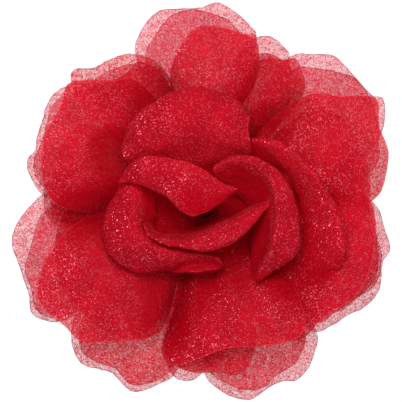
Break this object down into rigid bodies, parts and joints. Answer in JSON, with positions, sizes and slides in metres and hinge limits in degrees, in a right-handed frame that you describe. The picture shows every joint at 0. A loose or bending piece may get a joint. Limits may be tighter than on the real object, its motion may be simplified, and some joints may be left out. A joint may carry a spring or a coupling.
{
  "type": "flower hair clip",
  "caption": "Large red glitter organza flower, sewn from layered petal discs and curled inner petals, on a felt disc glued to a sprung toothed alligator hair clip.",
  "frame": {"origin": "centre of the footprint, on the surface that the rear petals rest on", "axes": "+Z the way the flower faces, +Y the top of the flower as seen from the front, +X its right; the clip lies along X with its jaws towards -X and its hinge pin along Y"},
  "size_m": [0.1061, 0.1084, 0.0365],
  "materials": {
    "organza_rear": "sheer glitter organza",
    "organza_front": "glitter organza, several layers deep",
    "organza_inner": "glitter organza, folded and curled",
    "thread": "matt polyester thread",
    "hot_glue": "cloudy hot-melt glue",
    "felt": "fuzzy felt",
    "clip_steel": "bright nickel-plated sheet steel",
    "spring_steel": "drawn wire"
  },
  "bodies": {
    "flower_and_upper_arm": {"petal_disc_rear": "organza_rear", "petal_disc_second": "organza_rear", "petal_disc_third": "organza_rear", "petal_disc_fourth": "organza_rear", "petal_disc_middle": "organza_front", "petal_disc_front": "organza_front", "top_dome_petal": "organza_inner", "right_leaning_petal": "organza_inner", "right_curled_petal": "organza_inner", "left_curled_petal": "organza_inner", "centre_tongue_petal": "organza_inner", "centre_lip_petal": "organza_inner", "small_fold_petal": "organza_inner", "rolled_core": "organza_inner", "sewing_thread": "thread", "glue_pad": "hot_glue", "felt_backing": "felt", "clip_upper_arm": "clip_steel", "hinge_pin": "clip_steel", "torsion_spring": "spring_steel"},
    "lower_arm": {"clip_lower_arm": "clip_steel"}
  },
  "joints": [
    {"name": "jaw_opening", "type": "hinge", "parent": "flower_and_upper_arm", "child": "lower_arm", "pos_m": [0.006, 0, 0.0066], "axis": [0, -1, 0], "range_deg": [0, 28], "stiffness_Nm_per_rad": 0.03, "springref_deg": -51.57, "deforming": ["torsion_spring"]}
  ]
}
